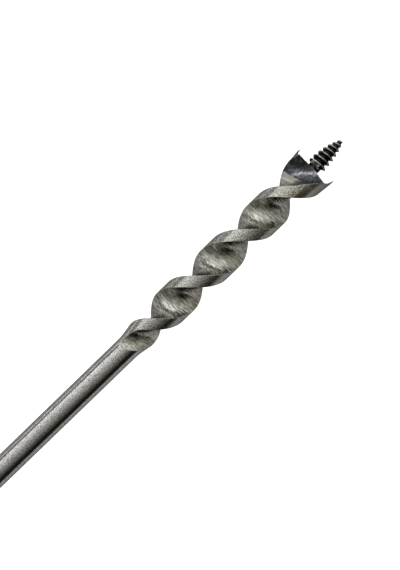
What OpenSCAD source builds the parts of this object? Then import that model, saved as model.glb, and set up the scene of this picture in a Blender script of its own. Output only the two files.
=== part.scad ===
/* [Overall] */
// Length from the tip of the lead screw to the back of the hanging lug
overall_l = 240; // [230:1:300]
// Height of the bit axis above the surface that the tool lies on
axis_h = 13; // [13:0.5:16]

/* [Twisted bit] */
// Radius of the two lands along the twist
land_r = 5; // [4.8:0.1:5.2]
// Half the angle that one land covers, in degrees
land_half = 25; // [22:1:28]
// Distance along the axis for one full turn of the twist
twist_pitch = 31.64; // [30:0.1:34]
// Half the thickness of the web between the two flutes
web_half = 1.5; // [1.3:0.1:1.7]
// Radius over the cutting head, at the spurs
head_r = 6.1; // [5.9:0.05:6.3]
// Where the head starts to flare, measured back from the screw tip
head_back = 14.5; // [14:0.1:15.5]
// Where the flutes start to run out into the shank, measured back from the screw tip
runout_at = 70.7; // [69:0.1:73]
// Length of the flute run-out
runout_l = 6.4; // [5.5:0.1:7]
// Radius of the round shank
shank_r = 3.3; // [3.2:0.05:3.4]

/* [Lead screw] */
// Length of the lead screw, from its tip to the middle of the cutting lips
screw_l = 9.9; // [9.5:0.05:10.4]
// Crest radius that the taper of the screw runs towards
screw_crest = 2.82; // [2.6:0.01:2.9]
// Root radius as a part of the crest radius
screw_root = 0.62; // [0.55:0.01:0.7]

/* [Tang] */
// Side of the square tang
tang_w = 4.7; // [4.4:0.1:4.8]
// Length of the square tang
tang_l = 14; // [12:0.5:15]

/* [Socket] */
// Largest radius of the hub, about the handle axis
hub_r = 12; // [11:0.5:12.5]
// Half the length of the hub, along the handle
hub_half = 15; // [14:0.5:16]
// Length of the nose, from the handle axis
nose_l = 32; // [28:1:34]
// Distance from the handle axis to the hanging hole
lug_out = 17; // [16:0.5:18]
// Radius of the round end of the hanging lug
lug_r = 7; // [6:0.5:8]
// Radius of the hanging hole
hang_r = 2.5; // [2:0.25:3]
// Thickness of the hanging lug
lug_t = 7; // [6:0.5:8]

/* [Handle] */
// Half the length of the whole handle, to the top of an end nut
handle_half = 90; // [88:1:100]
// Largest radius of a wooden grip
grip_r = 13; // [12:0.25:13]
// Radius of the rods that the grips sit on
rod_r = 4; // [3.8:0.1:4.2]
// Radius of the cross pins through the inner ferrules
pin_r = 1.5; // [1.25:0.05:1.75]

/* [Hidden] */

tip_x = overall_l / 2;                      // the screw tip points along +X
hx = -overall_l / 2 + lug_out + lug_r;      // x of the handle axis
run_fit = 0.05;                             // radial clearance of what slides or turns
seat = 0.02;                                // radial clearance of what is screwed or driven home
shoulder = hx + 6.5;                        // x where the round shank meets the tang
thread_r = rod_r - 0.1;                     // the clamp screw, at its thread
e1 = 20.5;                                  // start of the inner ferrule, from the bit axis
e2 = 31;                                    // end of the inner ferrule
e5 = handle_half - 6;                       // seat of the end nut
e4 = e5 - 1.5;                              // seat of the end washer
e3 = e4 - 8.5;                              // start of the outer ferrule
neck_r = 9;                                 // wood under the ferrules
pin_at = 26;                                // cross pin, from the bit axis

// ---------- the twisted bit ----------
// a is always the distance back from the screw tip, phi the angle about the bit axis
// from straight up towards -Y, so that the twist is right handed.
function lim(v, lo, hi) = min(max(v, lo), hi);
function ease(t) = let (u = lim(t, 0, 1)) u * u * (3 - 2 * u);

// radius over the lands: flared head, even twist, then down to the shank
function land_at(a) =
    a < head_back ? land_r + 0.53 + (head_r - land_r - 0.53) * (head_back - a) / 6.3
    : a < 28.8 ? land_r + 0.53 * (1 - ease((a - head_back) / 6))
    : shank_r + (land_r - shank_r) * (1 - ease((a - 64.8) / 12));

// the rolled twist wanders a few degrees from an even pitch
function phase(at) = let (a = max(at, 10.8)) 32.3 - 360 * a / twist_pitch + 9.5 * ease((a - 32.8) / 18)
    + 7 * exp(-pow((a - 17.9) / 3.8, 2)) - 0.27 * max(0, a - 51.8);

function runout(a) = lim((a - runout_at) / runout_l, 0, 1);
function half_at(a) =
    let (b = land_half + 10.5 * (1 - ease((a - 9.8) / 8)), r = land_at(a))
    a <= runout_at ? b
    : asin(lim((land_at(runout_at) * sin(land_half) * (1 - runout(a)) + shank_r * runout(a)) / r, 0.3, 0.9995));
function web_at(a) = let (f = land_at(a) * sin(half_at(a)))
    a <= runout_at ? web_half : f - (land_at(runout_at) * sin(land_half) - web_half) * (1 - runout(a));

NL = 6;                                     // steps across a land
NF = 9;                                     // steps across a flute face
NS = 2 * (NL + NF);

// outline of the section at a, in its own axes: x through the middle of the lands
function sect(i, a) =
    let (h = floor(i / (NL + NF)), k = i % (NL + NF), r = land_at(a), b = half_at(a), w = web_at(a),
         p = k < NL ? let (q = -b + 2 * b * k / NL) [r * cos(q), r * sin(q)]
                    : let (u = 1 - 2 * (k - NL) / NF) [r * cos(b) * u, w + (r * sin(b) - w) * u * u])
    h == 0 ? p : -p;

function place(p, a) = let (f = phase(a))
    [tip_x - a, -(p[0] * sin(f) + p[1] * cos(f)), axis_h + p[0] * cos(f) - p[1] * sin(f)];

// the end of the head: lips fall back outwards, and the heel behind each lip a little more
function end_a(p) = let (r = norm(p), side = lim(p[1] * sign(p[0] + 0.0001) / 2.5, -1, 1))
    screw_l + r / 6 * (0.75 + 0.33 * (1 - side));

// height of the spur above the end of the head, along a land: q is the angle from its middle
spur_tip_a = 8.65;
function spur(q, b) = q < -12 ? pow(lim((q + b) / (b - 12), 0, 1), 1.5) : lim((18 - q) / 30, 0, 1);
function is_land(i) = (i % (NL + NF)) <= NL;
function land_q(i, a) = let (b = half_at(a)) -b + 2 * b * (i % (NL + NF)) / NL;

head_a = 12.2;                              // last flat section before the end of the head
rim_t = 0.18;                               // spur thickness at its edge
wall_t = 0.42;                              // spur thickness at its root

function head_pt(i, t) =
    let (p0 = sect(i, head_a), e = end_a(p0),
         top = is_land(i) ? e - (e - spur_tip_a) * spur(land_q(i, head_a), half_at(head_a)) : e,
         a = head_a + (top - head_a) * t)
    place(sect(i, a), a);
function inner_pt(i, t, deep) =
    let (p0 = sect(i, head_a), e0 = end_a(p0),
         top = is_land(i) ? e0 - (e0 - spur_tip_a) * spur(land_q(i, head_a), half_at(head_a)) : e0,
         po = sect(i, top), r = norm(po),
         p = is_land(i) ? po * (r - t) / r : po * (1 - t / 6),
         a = deep ? end_a(p) : top)
    place(p, deep ? a : top);
function cap_pt(i, s) = let (p = sect(i, screw_l + 0.5) * s) place(p, end_a(p));

body_a = concat([for (a = [79, 77.8, 77.1]) a],
                [for (j = [0:13]) 76.8 - j * 0.62],
                [for (j = [0:52]) 68 - j * (68 - 20.3) / 53],
                [for (j = [0:10]) 20.3 - j * (20.3 - head_a) / 11]);
rings = concat([for (a = body_a) [for (i = [0:NS - 1]) place(a > 77.05 ? sect(i, 77.8) * (shank_r - 0.02) / shank_r : sect(i, a), a)]],
               [for (t = [0, 0.34, 0.67, 1]) [for (i = [0:NS - 1]) head_pt(i, t)]],
               [[for (i = [0:NS - 1]) inner_pt(i, rim_t, false)]],
               [[for (i = [0:NS - 1]) inner_pt(i, wall_t, true)]],
               [for (s = [0.72, 0.42]) [for (i = [0:NS - 1]) cap_pt(i, s)]]);

// closes a stack of rings of n points into a solid, with one point at each end
module stack(rs, n, first, last) {
    m = len(rs);
    pts = concat([for (r = rs) each r], [first, last]);
    sides = [for (j = [0:m - 2], i = [0:n - 1]) each
        let (p = j * n + i, q = j * n + (i + 1) % n) [[q, p, p + n], [q + n, q, p + n]]];
    ends = [for (i = [0:n - 1]) each
        [[m * n, i, (i + 1) % n], [m * n + 1, (m - 1) * n + (i + 1) % n, (m - 1) * n + i]]];
    polyhedron(points = pts, faces = concat(sides, ends), convexity = 10);
}

// lead screw: the crest comes round once for each turn, and the pitch opens towards the head
function crest_at(a) = screw_crest * (1 - exp(-(a + 0.75) / 3.9));
function turns(a) = let (c = 1.16, d = 0.04) (-c + sqrt(c * c + 4 * d * max(-8, a - 0.5))) / (2 * d);
function screw_r(a, phi) =
    let (c = crest_at(a), ro = c * screw_root, f = turns(a) + (phi + 90) / 360,
         h = 0.5 + 0.5 * cos(360 * f), fade = 1 - ease((a - 8.6) / 0.9))
    ro + (c - ro) * h * fade;
SN = 16;
screw_rings = [for (j = [0:62]) let (a = j < 60 ? j * 0.171 : 10.1 + (j - 59) * 0.35)
    [for (i = [0:SN - 1]) let (phi = 360 * i / SN, r = a > 10.1 ? 1.35 : screw_r(a, phi))
        [tip_x - a, -r * sin(phi), axis_h + r * cos(phi)]]];

module auger_bit() {
    color([0.44, 0.43, 0.4]) union() {
        stack(rings, NS, [tip_x - body_a[0], 0, axis_h], [tip_x - screw_l, 0, axis_h]);
        // the screw rings run the other way, from the tip back
        stack([for (j = [len(screw_rings) - 1:-1:0]) screw_rings[j]], SN,
              [tip_x - 11.15, 0, axis_h], [tip_x, 0, axis_h]);
        difference() {
            translate([shoulder, 0, axis_h]) rotate([0, 90, 0])
                cylinder(r = shank_r, h = tip_x - 77.1 - shoulder, $fn = 48);
        }
        translate([shoulder - tang_l, -tang_w / 2, axis_h - tang_w / 2]) cube([tang_l + 0.5, tang_w, tang_w]);
    }
}

// ---------- handle ----------
// works in axes with z along the handle, out from the bit axis
module side(s) { translate([hx, 0, axis_h]) rotate([s > 0 ? -90 : 90, 0, 0]) children(); }

module tube(ro, ri, h) { difference() { cylinder(r = ro, h = h, $fn = 64); translate([0, 0, -1]) cylinder(r = ri, h = h + 2, $fn = 64); } }

module centre_socket() {
    color([0.16, 0.17, 0.18]) difference() {
        union() {
            // hub, turned about the handle axis
            translate([hx, 0, axis_h]) rotate([-90, 0, 0]) rotate_extrude($fn = 96)
                polygon([[0, -hub_half], [9.2, -hub_half], [9.9, -hub_half + 0.7], [9.9, -hub_half + 2.6],
                         [hub_r - 1.1, -hub_half + 4.4], [hub_r - 0.3, -hub_half + 8], [hub_r, 0],
                         [hub_r - 0.3, hub_half - 8], [hub_r - 1.1, hub_half - 4.4],
                         [9.9, hub_half - 2.6], [9.9, hub_half - 0.7], [9.2, hub_half], [0, hub_half]]);
            // nose that holds the shank, with a bead at its mouth
            translate([hx, 0, axis_h]) rotate([0, 90, 0]) rotate_extrude($fn = 96)
                polygon([[0, 0], [10.2, 0], [10.2, 8.5], [9.3, 10.6], [8.2, 12.6], [7.5, 15.5], [7.1, 19],
                         [6.8, nose_l - 5.4], [7, nose_l - 5], [7.6, nose_l - 4.4], [7.8, nose_l - 3.4],
                         [7.8, nose_l - 1.6], [7.4, nose_l - 0.5], [6.6, nose_l], [0, nose_l]]);
            // hanging lug behind the hub
            translate([hx, 0, axis_h - lug_t / 2]) linear_extrude(lug_t) {
                translate([-lug_out, -lug_r]) square([lug_out, 2 * lug_r]);
                translate([-lug_out, 0]) circle(r = lug_r, $fn = 64);
            }
        }
        // shank bore and square pocket for the tang
        translate([shoulder - 0.05, 0, axis_h]) rotate([0, 90, 0]) cylinder(r = shank_r + run_fit, h = nose_l, $fn = 64);
        translate([shoulder - tang_l - 0.5, -tang_w / 2 - 0.1, axis_h - tang_w / 2 - 0.1])
            cube([tang_l + 1, tang_w + 0.2, tang_w + 0.2]);
        // pad bore and seat of the bush on the clamp side
        side(-1) translate([0, 0, 2.3]) cylinder(r = 4.5, h = 9, $fn = 64);
        side(-1) translate([0, 0, 9]) cylinder(r = 7, h = 9, $fn = 64);
        // blind hole for the stud on the fixed side
        side(1) translate([0, 0, 6]) cylinder(r = rod_r + seat, h = 12, $fn = 64);
        // hanging hole
        translate([hx - lug_out, 0, axis_h - lug_t]) cylinder(r = hang_r, h = 2 * lug_t, $fn = 64);
    }
}

module clamp_bush() {
    color([0.55, 0.55, 0.54]) side(-1) difference() {
        union() {
            translate([0, 0, 9]) cylinder(r = 7 - seat, h = 6.5, $fn = 64);
            translate([0, 0, hub_half]) cylinder(r = 9, h = 3, $fn = 6);
        }
        cylinder(r = thread_r + run_fit, h = 30, $fn = 64);
    }
}

module clamp_screw() {
    color([0.6, 0.6, 0.6]) side(-1) difference() {
        union() {
            translate([0, 0, 3.5]) cylinder(r = 2, h = 4, $fn = 48);
            translate([0, 0, 6.47]) cylinder(r = thread_r, h = 20, $fn = 64);
            translate([0, 0, e1 - 0.1]) cylinder(r = rod_r, h = e4 - 1 - e1, $fn = 64);
            translate([0, 0, e4 - 2]) cylinder(r = 3, h = 7, $fn = 48);
        }
        // groove for the clip
        translate([0, 0, 4.8]) tube(3, 1.75, 0.8);
        translate([-20, 0, pin_at]) rotate([0, 90, 0]) cylinder(r = pin_r + seat, h = 40, $fn = 48);
    }
}

module clamp_pad() {
    color([0.76, 0.6, 0.3]) side(-1) difference() {
        translate([0, 0, 2.37]) cylinder(r = 4.45, h = 4, $fn = 64);
        translate([0, 0, 3.4]) cylinder(r = 2.05, h = 4, $fn = 48);
        translate([0, 0, 4.83]) cylinder(r = 2.67, h = 0.74, $fn = 48);
    }
}

module pad_clip() {
    color([0.3, 0.3, 0.32]) side(-1) translate([0, 0, 5.2]) rotate_extrude($fn = 48)
        translate([2.3, 0]) circle(r = 0.35, $fn = 24);
}

// turned grip: necks under the ferrules, a long belly between them
function belly(t) = 10.3 + (grip_r - 10.3) * pow(sin(180 * pow(t, 0.85)), 0.75);
module grip(s) {
    side(s) difference() {
        rotate_extrude($fn = 96) polygon(concat(
            [[rod_r + run_fit, e1 + 0.5], [neck_r - 0.6, e1 + 0.5], [neck_r, e1 + 1.2], [neck_r, e2 + 0.02]],
            [for (j = [0:16]) let (t = j / 16) [belly(lim(t, 0.001, 0.999)), e2 + 0.02 + (e3 - e2 - 0.04) * t]],
            [[neck_r, e3 - 0.02], [neck_r, e4 - 1.2], [neck_r - 0.6, e4 - 0.5], [rod_r + run_fit, e4 - 0.5]]));
        translate([-20, 0, pin_at]) rotate([0, 90, 0]) cylinder(r = pin_r + seat, h = 40, $fn = 48);
    }
}

// ferrule next to the hub: a closed face, a rolled bead, then a straight skirt
module inner_ferrule(s) {
    side(s) difference() {
        rotate_extrude($fn = 96) polygon([[rod_r + run_fit, e1], [8.6, e1], [9.3, e1 + 0.25], [9.75, e1 + 0.9], [9.75, e1 + 1.7],
            [9.5, e1 + 2.2], [9.9, e1 + 2.8], [9.9, e2 - 1.8], [10.3, e2 - 1.4], [10.3, e2 - 0.4], [10, e2],
            [neck_r + seat, e2], [neck_r + seat, e1 + 0.5 - seat], [rod_r + run_fit, e1 + 0.5 - seat]]);
        translate([-20, 0, pin_at]) rotate([0, 90, 0]) cylinder(r = pin_r + seat, h = 40, $fn = 48);
    }
}

module outer_ferrule(s) {
    side(s) rotate_extrude($fn = 96) polygon([[neck_r + seat, e3], [10, e3], [10.3, e3 + 0.4], [10.3, e3 + 1.4], [9.9, e3 + 1.8],
        [9.9, e4 - 1.6], [9.6, e4 - 0.5], [8.9, e4], [rod_r + run_fit, e4], [rod_r + run_fit, e4 - 0.5 + seat], [neck_r + seat, e4 - 0.5 + seat]]);
}

module end_washer(s) {
    side(s) rotate_extrude($fn = 64) polygon([[3.2, e4 + seat], [7.4, e4 + seat], [7.4, e4 + 0.8], [7, e5 - seat], [3.2, e5 - seat]]);
}

// domed cap nut
module end_nut(s) {
    side(s) difference() {
        union() {
            translate([0, 0, e5]) cylinder(r = 5.7, h = 3.2, $fn = 6);
            rotate_extrude($fn = 64) polygon(concat([[0, e5 + 1]], [[4.8, e5 + 1]],
                [for (j = [0:8]) [4.8 * cos(j * 11.25), e5 + 3.2 + 2.8 * sin(j * 11.25)]]));
        }
        translate([0, 0, e5 - 1]) cylinder(r = 3 + seat, h = 4.6, $fn = 48);
    }
}

module grip_pin(s) {
    side(s) translate([0, 0, pin_at]) rotate([0, 90, 0]) rotate_extrude($fn = 48)
        polygon([[0, -10.15], [pin_r - 0.35, -10.15], [pin_r, -9.8], [pin_r, 9.8], [pin_r - 0.35, 10.15], [0, 10.15]]);
}

module fixed_stud() {
    color([0.6, 0.6, 0.6]) side(1) difference() {
        union() {
            translate([0, 0, 6.2]) cylinder(r = rod_r, h = e4 - 7.2, $fn = 64);
            translate([0, 0, e4 - 2]) cylinder(r = 3, h = 7, $fn = 48);
        }
        translate([-20, 0, pin_at]) rotate([0, 90, 0]) cylinder(r = pin_r + seat, h = 40, $fn = 48);
    }
}

module jam_nut() {
    color([0.55, 0.55, 0.54]) side(1) difference() {
        translate([0, 0, hub_half + seat]) cylinder(r = 8, h = 5, $fn = 6);
        cylinder(r = rod_r + seat, h = 30, $fn = 64);
    }
}

module clamp_grip() { color([0.45, 0.27, 0.14]) grip(-1); }
module clamp_inner_ferrule() { color([0.76, 0.6, 0.3]) inner_ferrule(-1); }
module clamp_outer_ferrule() { color([0.76, 0.6, 0.3]) outer_ferrule(-1); }
module clamp_end_washer() { color([0.6, 0.6, 0.6]) end_washer(-1); }
module clamp_end_nut() { color([0.55, 0.55, 0.54]) end_nut(-1); }
module clamp_grip_pin() { color([0.6, 0.6, 0.6]) grip_pin(-1); }
module fixed_grip() { color([0.45, 0.27, 0.14]) grip(1); }
module fixed_inner_ferrule() { color([0.76, 0.6, 0.3]) inner_ferrule(1); }
module fixed_outer_ferrule() { color([0.76, 0.6, 0.3]) outer_ferrule(1); }
module fixed_end_washer() { color([0.6, 0.6, 0.6]) end_washer(1); }
module fixed_end_nut() { color([0.55, 0.55, 0.54]) end_nut(1); }
module fixed_grip_pin() { color([0.6, 0.6, 0.6]) grip_pin(1); }

auger_bit();
centre_socket();
clamp_bush();
clamp_screw();
clamp_pad();
pad_clip();
clamp_grip();
clamp_inner_ferrule();
clamp_outer_ferrule();
clamp_end_washer();
clamp_end_nut();
clamp_grip_pin();
fixed_stud();
jam_nut();
fixed_grip();
fixed_inner_ferrule();
fixed_outer_ferrule();
fixed_end_washer();
fixed_end_nut();
fixed_grip_pin();
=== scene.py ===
import bpy
import math
import numpy as np
from mathutils import Matrix, Vector


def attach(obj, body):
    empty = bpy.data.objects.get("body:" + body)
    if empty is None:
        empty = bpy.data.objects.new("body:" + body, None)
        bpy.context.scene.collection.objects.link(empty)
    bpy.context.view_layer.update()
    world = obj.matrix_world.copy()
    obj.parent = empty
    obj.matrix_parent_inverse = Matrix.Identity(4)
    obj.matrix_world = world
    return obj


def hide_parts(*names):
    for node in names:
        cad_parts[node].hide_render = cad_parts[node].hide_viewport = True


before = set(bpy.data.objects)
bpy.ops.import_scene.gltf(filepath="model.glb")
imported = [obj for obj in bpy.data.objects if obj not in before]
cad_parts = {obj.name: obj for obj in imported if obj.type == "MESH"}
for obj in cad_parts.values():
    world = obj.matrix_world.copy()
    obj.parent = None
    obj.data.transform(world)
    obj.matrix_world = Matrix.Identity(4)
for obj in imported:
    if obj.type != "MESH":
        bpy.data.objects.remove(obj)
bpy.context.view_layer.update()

MM = 0.001
scene = bpy.context.scene

# ------------------------------------------------------------------ sizes, in millimetres, as the frame has them
TIP = 120.0            # the screw tip, on +X
AX = 13.0              # height of the bit axis above the floor
HX = -96.0             # the handle axis
SHOULDER = HX + 6.5    # where the round shank meets the tang
TANG_W, TANG_L = 4.7, 14.0
SHANK_R = 3.3
LAND_R, LAND_HALF, PITCH, WEB = 5.0, 25.0, 31.64, 1.5
HEAD_R, HEAD_BACK, RUN_AT, RUN_L = 6.1, 14.5, 70.7, 6.4
SCREW_L, CREST, ROOT = 9.9, 2.82, 0.62
HUB_R, HUB_HALF, NOSE_L, LUG_OUT, LUG_R, HANG_R, LUG_T = 12.0, 15.0, 32.0, 17.0, 7.0, 2.5, 7.0
GRIP_R, ROD_R, PIN_R, NECK_R = 13.0, 4.0, 1.5, 9.0
E1, E2, E3, E4, E5, PIN_AT = 20.5, 31.0, 74.0, 82.5, 84.0, 26.0

# ------------------------------------------------------------------ camera, at the photograph's viewing angle
PX = 0.2585e-3                                   # metres for one pixel, at the bit axis
S_, T_, Z_ = Vector((-1, 0, 0)), Vector((0, -1, 0)), Vector((0, 0, 1))
origin = Vector((0.1212, 0, AX * MM)) - T_ * (0.417 * PX)
eye = origin + S_ * (173.6 * PX) + T_ * (9.1 * PX) + Z_ * (560 * PX)
look = origin + S_ * (202.87 * PX) + T_ * (5.51 * PX)
w = (look - eye).normalized()
focal_px = (look - eye).length / PX
rs = (S_ - w * w.dot(S_)).normalized()
dn = w.cross(rs)
if dn.dot(T_) < 0:
    dn.negate()
roll = math.radians(44.0)
right = -math.cos(roll) * rs + math.sin(roll) * dn
down = math.sin(roll) * rs + math.cos(roll) * dn
cam_data = bpy.data.cameras.new("camera")
cam_data.sensor_width = 36.0
cam_data.lens = focal_px * 36.0 / 570.0
cam_data.clip_start, cam_data.clip_end = 0.005, 20.0
cam = bpy.data.objects.new("camera", cam_data)
scene.collection.objects.link(cam)
cam.matrix_world = Matrix(((right.x, -down.x, -w.x, eye.x), (right.y, -down.y, -w.y, eye.y),
                           (right.z, -down.z, -w.z, eye.z), (0, 0, 0, 1)))
scene.camera = cam


# ------------------------------------------------------------------ mesh helpers
def put(name, verts, faces, body, replaces=(), mats=(), face_mat=None, attrs=None, sharp=32.0):
    me = bpy.data.meshes.new(name)
    v = np.asarray(verts, float) * MM
    me.from_pydata(v.tolist(), [], [list(map(int, f)) for f in faces])
    me.validate()
    me.update()
    for m in mats:
        me.materials.append(m)
    if face_mat is not None:
        me.polygons.foreach_set("material_index", np.asarray(face_mat, np.int32))
    for key, val in (attrs or {}).items():
        a = me.attributes.new(key, "FLOAT", "POINT")
        a.data.foreach_set("value", np.asarray(val, np.float32))
    me.polygons.foreach_set("use_smooth", np.ones(len(me.polygons), bool))
    if sharp:
        me.set_sharp_from_angle(angle=math.radians(sharp))
    ob = bpy.data.objects.new(name, me)
    scene.collection.objects.link(ob)
    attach(ob, body)
    if replaces:
        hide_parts(*replaces)
    return ob


def side_frame(s, p):
    """local points, z along the handle out from the bit axis, to the row frame; s is +1 or -1"""
    p = np.asarray(p, float)
    if s > 0:
        return np.stack([HX + p[..., 0], p[..., 2], AX - p[..., 1]], -1)
    return np.stack([HX + p[..., 0], -p[..., 2], AX + p[..., 1]], -1)


def eased(pts, d=0.2, n=3, turn=18.0, keep=()):
    """rounds the corners of an open (r, z) outline"""
    out = [np.array(pts[0], float)]
    for i in range(1, len(pts) - 1):
        a, b, c = (np.array(pts[k], float) for k in (i - 1, i, i + 1))
        u, v = a - b, c - b
        lu, lv = np.linalg.norm(u), np.linalg.norm(v)
        if lu < 1e-6 or lv < 1e-6:
            continue
        ang = math.degrees(math.acos(max(-1, min(1, float(-(u @ v) / lu / lv)))))
        if ang < turn or i in keep:
            out.append(b)
            continue
        k = min(d, lu * 0.45, lv * 0.45)
        p, q = b + u / lu * k, b + v / lv * k
        for j in range(n + 1):
            t = j / n
            out.append((1 - t) ** 2 * p + 2 * t * (1 - t) * b + t * t * q)
    out.append(np.array(pts[-1], float))
    return np.array(out)


def lathe(profile, seg=96, closed=True):
    """verts (local) and faces of an outline (r, z) turned about z. A closed outline makes a ring-shaped solid."""
    pr = np.asarray(profile, float)
    m = len(pr)
    verts, index = [], []
    ang = np.arange(seg) * 2 * math.pi / seg
    for r, z in pr:
        if r < 1e-6:
            index.append([len(verts)] * seg)
            verts.append((0.0, 0.0, z))
        else:
            index.append(list(range(len(verts), len(verts) + seg)))
            verts.extend(zip(r * np.cos(ang), r * np.sin(ang), [z] * seg))
    faces = []
    for j in range(m if closed else m - 1):
        a, b = index[j], index[(j + 1) % m]
        for i in range(seg):
            k = (i + 1) % seg
            f = []
            for x in (a[i], a[k], b[k], b[i]):
                if x not in f:
                    f.append(x)
            if len(f) > 2:
                faces.append(f)
    return np.array(verts), faces


def turned(name, outline, s, body, mat, replaces=(), seg=96, d=0.2, closed=True, turn=18.0, attrs=None, sharp=32.0):
    pr = eased(outline, d=d, turn=turn)
    v, f = lathe(pr, seg, closed)
    a = {k: fn(v) for k, fn in (attrs or {}).items()}
    ob = put(name, side_frame(s, v), f, body, replaces, [mat], attrs=a, sharp=sharp)
    outward(ob)
    return ob


def outward(ob):
    import bmesh
    bm = bmesh.new()
    bm.from_mesh(ob.data)
    bmesh.ops.recalc_face_normals(bm, faces=bm.faces)
    bm.to_mesh(ob.data)
    bm.free()
    ob.data.update()


def hexagon(r, h0, h1, bore, bevel=0.5, per=8, top_r=None):
    """a hex nut as rings about z: chamfered corners, flat sides; r is the corner radius"""
    n = 6 * per
    ang = np.arange(n) * 2 * math.pi / n
    flat = r * math.cos(math.pi / 6)
    within = (ang % (math.pi / 3)) - math.pi / 6
    hexr = np.minimum(flat / np.cos(within), r - 0.12)
    top = flat - 0.15 if top_r is None else top_r
    rings = []

    def ring(rad, z):
        rings.append(np.stack([rad * np.cos(ang), rad * np.sin(ang), np.full(n, z) if np.isscalar(z) else z], -1))
    slope = 0.55
    zt = np.minimum(h1 - (hexr - top) * slope, h1 - 0.02)
    zb = np.maximum(h0 + (hexr - top) * slope, h0 + 0.02)
    ring(np.full(n, bore), h0 + 0.25)
    ring(np.full(n, bore + 0.25), h0)
    ring(np.full(n, top), h0)
    ring(hexr, zb)
    ring(hexr, zt)
    ring(np.full(n, top), h1)
    ring(np.full(n, bore + 0.25), h1)
    ring(np.full(n, bore), h1 - 0.25)
    m = len(rings)
    v = np.concatenate(rings)
    f = [[j * n + i, j * n + (i + 1) % n, ((j + 1) % m) * n + (i + 1) % n, ((j + 1) % m) * n + i]
         for j in range(m) for i in range(n)]
    return v, f


# ------------------------------------------------------------------ material helpers
class Mat:
    def __init__(self, name):
        self.m = bpy.data.materials.new(name)
        self.m.use_nodes = True
        self.nt = self.m.node_tree
        self.nt.nodes.clear()
        self.out = self.nt.nodes.new("ShaderNodeOutputMaterial")
        self.p = self.nt.nodes.new("ShaderNodeBsdfPrincipled")
        self.nt.links.new(self.p.outputs[0], self.out.inputs[0])
        co = self.nt.nodes.new("ShaderNodeTexCoord").outputs["Object"]
        self.co = self.vec("SCALE", co, scale=1000.0)      # object space in millimetres

    def put(self, socket, v):
        if hasattr(v, "is_output"):
            self.nt.links.new(v, socket)
        elif isinstance(v, (tuple, list)) and len(v) == 3 and socket.type == "RGBA":
            socket.default_value = (*v, 1)
        else:
            socket.default_value = v

    def set(self, name, v):
        self.put(self.p.inputs[name], v)

    def vec(self, op, a, b=None, scale=None):
        n = self.nt.nodes.new("ShaderNodeVectorMath")
        n.operation = op
        self.put(n.inputs[0], a)
        if b is not None:
            self.put(n.inputs[1], b)
        if scale is not None:
            self.put(n.inputs["Scale"], scale)
        return n.outputs["Value" if op in ("LENGTH", "DOT_PRODUCT", "DISTANCE") else "Vector"]

    def math(self, op, a, b=None, c=None, clamp=False):
        n = self.nt.nodes.new("ShaderNodeMath")
        n.operation = op
        n.use_clamp = clamp
        self.put(n.inputs[0], a)
        if b is not None:
            self.put(n.inputs[1], b)
        if c is not None:
            self.put(n.inputs[2], c)
        return n.outputs[0]

    def mix(self, f, a, b, blend="MIX"):
        n = self.nt.nodes.new("ShaderNodeMix")
        n.data_type = "RGBA"
        n.blend_type = blend
        n.clamp_factor = True
        self.put(n.inputs[0], f)
        self.put(n.inputs[6], a)
        self.put(n.inputs[7], b)
        return n.outputs[2]

    def step(self, v, lo, hi, to_lo=0.0, to_hi=1.0, smooth=True):
        n = self.nt.nodes.new("ShaderNodeMapRange")
        n.interpolation_type = "SMOOTHSTEP" if smooth else "LINEAR"
        n.clamp = True
        self.put(n.inputs[0], v)
        for i, x in enumerate((lo, hi, to_lo, to_hi)):
            n.inputs[i + 1].default_value = x
        return n.outputs[0]

    def noise(self, scale=1.0, detail=3.0, rough=0.55, vec=None, stretch=None, distort=0.0):
        n = self.nt.nodes.new("ShaderNodeTexNoise")
        v = self.co if vec is None else vec
        if stretch is not None:
            v = self.vec("MULTIPLY", v, stretch)
        self.put(n.inputs["Vector"], v)
        n.inputs["Scale"].default_value = scale
        n.inputs["Detail"].default_value = detail
        n.inputs["Roughness"].default_value = rough
        n.inputs["Distortion"].default_value = distort
        return n.outputs[0]

    def voronoi(self, scale=1.0, vec=None, feature="F1", out="Distance"):
        n = self.nt.nodes.new("ShaderNodeTexVoronoi")
        n.feature = feature
        self.put(n.inputs["Vector"], self.co if vec is None else vec)
        n.inputs["Scale"].default_value = scale
        return n.outputs[out]

    def attr(self, name):
        n = self.nt.nodes.new("ShaderNodeAttribute")
        n.attribute_name = name
        return n.outputs["Fac"]

    def bump(self, height, strength=0.3, dist=0.0001, normal=None):
        n = self.nt.nodes.new("ShaderNodeBump")
        n.inputs["Strength"].default_value = strength
        n.inputs["Distance"].default_value = dist
        self.put(n.inputs["Height"], height)
        if normal is not None:
            self.put(n.inputs["Normal"], normal)
        return n.outputs[0]

    def combine(self, x, y, z):
        n = self.nt.nodes.new("ShaderNodeCombineXYZ")
        for i, v in enumerate((x, y, z)):
            self.put(n.inputs[i], v)
        return n.outputs[0]

    def split(self, v):
        n = self.nt.nodes.new("ShaderNodeSeparateXYZ")
        self.put(n.inputs[0], v)
        return n.outputs

    def about_handle(self):
        """radius from the handle axis, place along it and angle about it, for turning marks"""
        x, y, z = self.split(self.co)
        dx, dz = self.math("SUBTRACT", x, HX), self.math("SUBTRACT", z, AX)
        r = self.math("SQRT", self.math("ADD", self.math("MULTIPLY", dx, dx), self.math("MULTIPLY", dz, dz)))
        return r, y, self.math("ARCTAN2", dz, dx), dx, dz


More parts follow.
